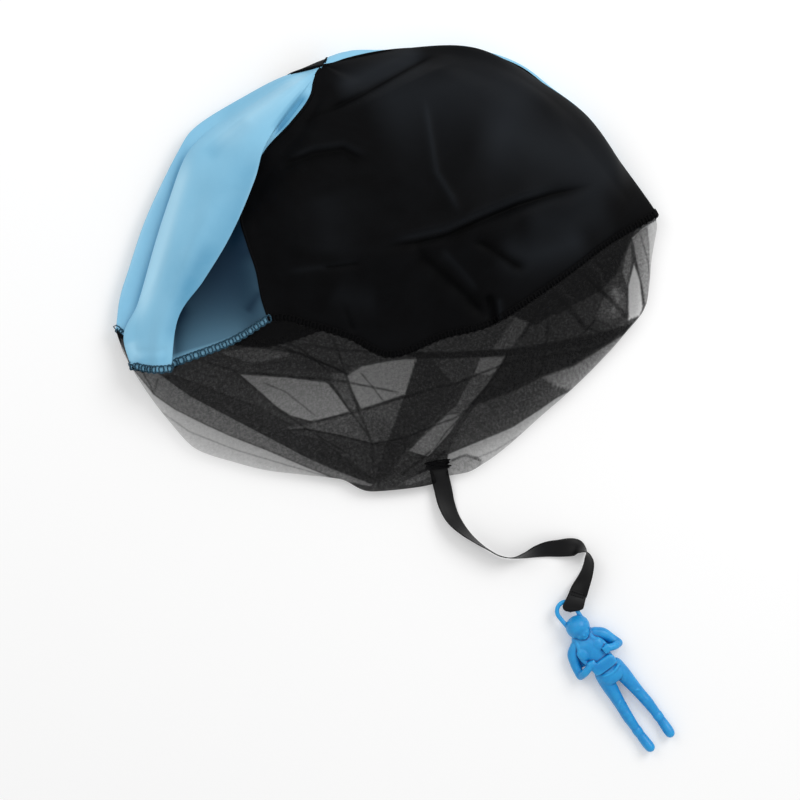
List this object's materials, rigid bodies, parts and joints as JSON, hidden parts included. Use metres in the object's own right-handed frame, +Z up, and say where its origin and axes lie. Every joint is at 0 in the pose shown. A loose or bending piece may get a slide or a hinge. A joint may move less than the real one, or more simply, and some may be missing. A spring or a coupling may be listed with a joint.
{
  "type": "toy parachute",
  "caption": "Toy parachute lying on its side: quartered cloth canopy, net skirt gathered to a ribbon, and a plastic jumper hung on the ribbon by a ring.",
  "frame": {"origin": "point on the table under the middle of the lying canopy, on the underside of the lower blue quarter", "axes": "+Z up off the table, +Y from the figure towards the crown of the canopy, +X to the right with the jumper's face up and the crown away from the viewer"},
  "size_m": [0.3062, 0.385, 0.0592],
  "materials": {
    "light_blue_nylon": "woven nylon, satin sheen",
    "black_nylon": "woven nylon, satin sheen",
    "dark_thread": "sewing thread",
    "black_tulle": "open knotted net",
    "black_satin": "satin ribbon",
    "blue_plastic": "semi-gloss moulded plastic"
  },
  "bodies": {
    "canopy": {"panel_left_blue": "light_blue_nylon", "panel_front_black": "black_nylon", "panel_back_blue": "light_blue_nylon", "panel_back_black": "black_nylon", "seam_long": "dark_thread", "seam_front": "dark_thread", "seam_back": "dark_thread", "hem_overlock": "dark_thread", "net_skirt": "black_tulle", "net_gather_binding": "dark_thread"},
    "ribbon": {"ribbon": "black_satin"},
    "loop": {"ribbon_end_loop": "black_satin", "loop_stitching": "dark_thread"},
    "figure": {"figure": "blue_plastic"}
  },
  "joints": [
    {"name": "ribbon_sway", "type": "hinge", "parent": "canopy", "child": "ribbon", "pos_m": [0.02074, -0.14529, 0.00405], "axis": [0, 0, 1], "range_deg": [-20, 25]},
    {"name": "loop_lift", "type": "hinge", "parent": "ribbon", "child": "loop", "pos_m": [0.09867, -0.21687, 0.00705], "axis": [-0.7405, 0.672, 0], "range_deg": [0, 60]},
    {"name": "figure_turn", "type": "hinge", "parent": "loop", "child": "figure", "pos_m": [0.09094, -0.22539, 0.0063], "axis": [0, 0, 1], "range_deg": [-100, 20]}
  ]
}
